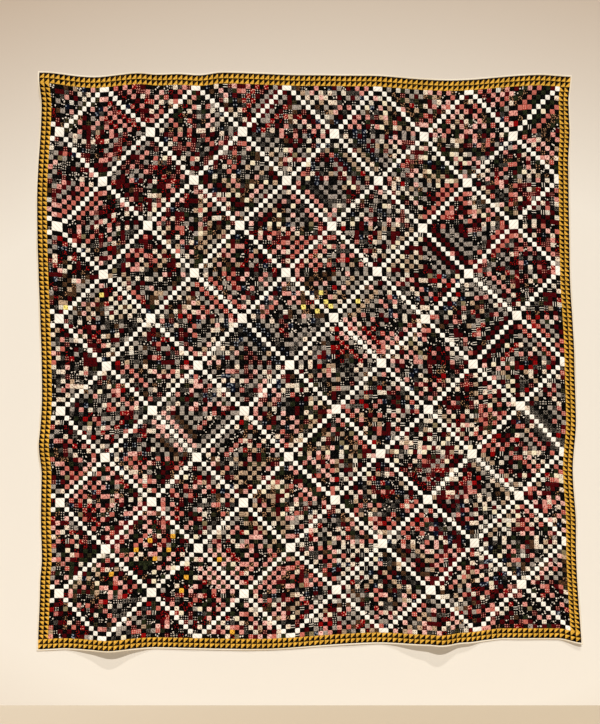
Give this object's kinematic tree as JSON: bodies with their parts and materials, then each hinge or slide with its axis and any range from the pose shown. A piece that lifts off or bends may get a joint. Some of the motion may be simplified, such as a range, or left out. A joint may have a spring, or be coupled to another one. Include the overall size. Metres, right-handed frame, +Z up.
{
  "type": "patchwork quilt",
  "caption": "Hanging pieced quilt of small squares with a white chain lattice, sawtooth borders and a narrow binding.",
  "frame": {"origin": "middle of the top edge, on the plane of the wall that the back hangs against", "axes": "+Z up along the height of the quilt, +X to the viewer's right, front faces -Y, so +Y points into the wall"},
  "size_m": [2.2589, 0.0521, 2.406],
  "materials": {
    "pieced_cotton": "matt printed cotton patches, hand quilted",
    "border_cotton": "matt mustard and black cotton triangles",
    "binding_cotton": "matt cream cotton",
    "backing_cotton": "matt unbleached cotton, hand quilted"
  },
  "bodies": {
    "root": {"quilt_centre": "pieced_cotton", "border_top": "border_cotton", "border_bottom": "border_cotton", "border_left": "border_cotton", "border_right": "border_cotton", "binding_top": "binding_cotton", "binding_bottom": "binding_cotton", "binding_left": "binding_cotton", "binding_right": "binding_cotton"}
  },
  "joints": []
}
